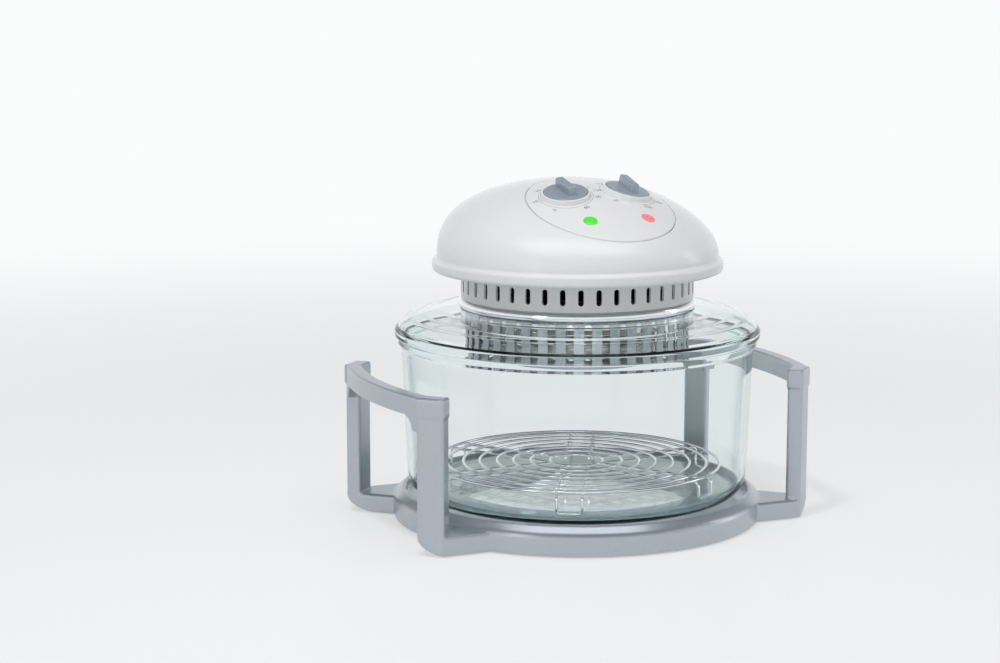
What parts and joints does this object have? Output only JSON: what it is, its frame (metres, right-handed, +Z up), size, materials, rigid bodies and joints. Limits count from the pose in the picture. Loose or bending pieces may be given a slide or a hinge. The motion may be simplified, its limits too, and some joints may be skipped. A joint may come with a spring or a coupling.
{
  "type": "halogen oven",
  "caption": "Countertop halogen oven: round glass bowl in a two-handled stand, wire rack, and a lift-off glass lid with a domed heater and fan head.",
  "frame": {"origin": "centre of the underside, on the surface the oven stands on", "axes": "+Z up, -Y to the control panel's side, +X to the right handle"},
  "size_m": [0.407, 0.336, 0.3139],
  "materials": {
    "silver_paint": "satin metallic silver-blue paint on a moulding",
    "rubber": "matt",
    "silicone": "matt translucent",
    "steel_screw": "plated",
    "clear_glass": "clear with green edges",
    "chrome_wire": "bright plated wire",
    "brushed_steel": "brushed",
    "bright_ring": "polished",
    "white_plastic": "glossy off-white",
    "knob_plastic": "satin grey-blue",
    "green_lens": "clear green",
    "red_lens": "clear pink red",
    "dark_plastic": "moulded",
    "galvanised": "zinc sheet",
    "bronze": "sintered bush",
    "quartz": "quartz tube",
    "ceramic": "glazed ceramic",
    "mineral_wool": "pressed fibre",
    "motor_case": "painted",
    "beige_plastic": "moulded"
  },
  "bodies": {
    "stand": {"stand_ring": "silver_paint", "handle_right": "silver_paint", "handle_left": "silver_paint", "handle_screws": "steel_screw", "rubber_feet": "rubber", "bowl_pads": "silicone"},
    "bowl": {"glass_bowl": "clear_glass"},
    "rack": {"rack_rings": "chrome_wire", "rack_legs": "chrome_wire"},
    "timer": {"timer_knob": "knob_plastic", "timer_shaft": "galvanised"},
    "temperature": {"temperature_knob": "knob_plastic", "thermostat_shaft": "galvanised"},
    "rotor": {"drive_shaft": "steel_screw", "cooling_fan": "dark_plastic", "convection_fan": "brushed_steel"},
    "lid": {"glass_lid": "clear_glass", "neck_gasket": "silicone", "retaining_ring": "bright_ring", "clamp_ring": "bright_ring", "heater_cage": "brushed_steel", "cage_screws": "steel_screw", "bottom_guard": "brushed_steel", "vent_collar": "white_plastic", "collar_screws": "steel_screw", "mounting_deck": "galvanised", "head_screws": "steel_screw", "dome_cover": "white_plastic", "control_panel": "white_plastic", "timer_mechanism": "beige_plastic", "thermostat": "beige_plastic", "power_lens": "green_lens", "heat_lens": "red_lens", "lamp_holders": "dark_plastic", "motor": "motor_case", "motor_bracket": "galvanised", "motor_screws": "steel_screw", "shaft_bush": "bronze", "reflector_plate": "bright_ring", "insulation_pad": "mineral_wool", "halogen_tube": "quartz", "tube_end_caps": "ceramic", "tube_clips": "galvanised", "thermal_sensor": "galvanised", "terminal_block": "beige_plastic", "power_inlet": "dark_plastic"}
  },
  "joints": [
    {"name": "bowl_lift", "type": "slide", "parent": "stand", "child": "bowl", "axis": [0, 0, 1], "range_m": [0, 0.15]},
    {"name": "rack_lift", "type": "slide", "parent": "bowl", "child": "rack", "axis": [0, 0, 1], "range_m": [0, 0.08]},
    {"name": "lid_lift", "type": "slide", "parent": "bowl", "child": "lid", "axis": [0, 0, 1], "range_m": [0, 0.12]},
    {"name": "timer_turn", "type": "hinge", "parent": "lid", "child": "timer", "pos_m": [-0.03, -0.0385, 0.29832], "axis": [0.1302, 0.2566, -0.9577], "range_deg": [0, 300]},
    {"name": "temperature_turn", "type": "hinge", "parent": "lid", "child": "temperature", "pos_m": [0.03, -0.0385, 0.29832], "axis": [-0.1302, 0.2566, -0.9577], "range_deg": [0, 270]},
    {"name": "fan_spin", "type": "hinge", "parent": "lid", "child": "rotor", "pos_m": [0, 0, 0.18], "axis": [0, 0, 1], "continuous": true}
  ]
}
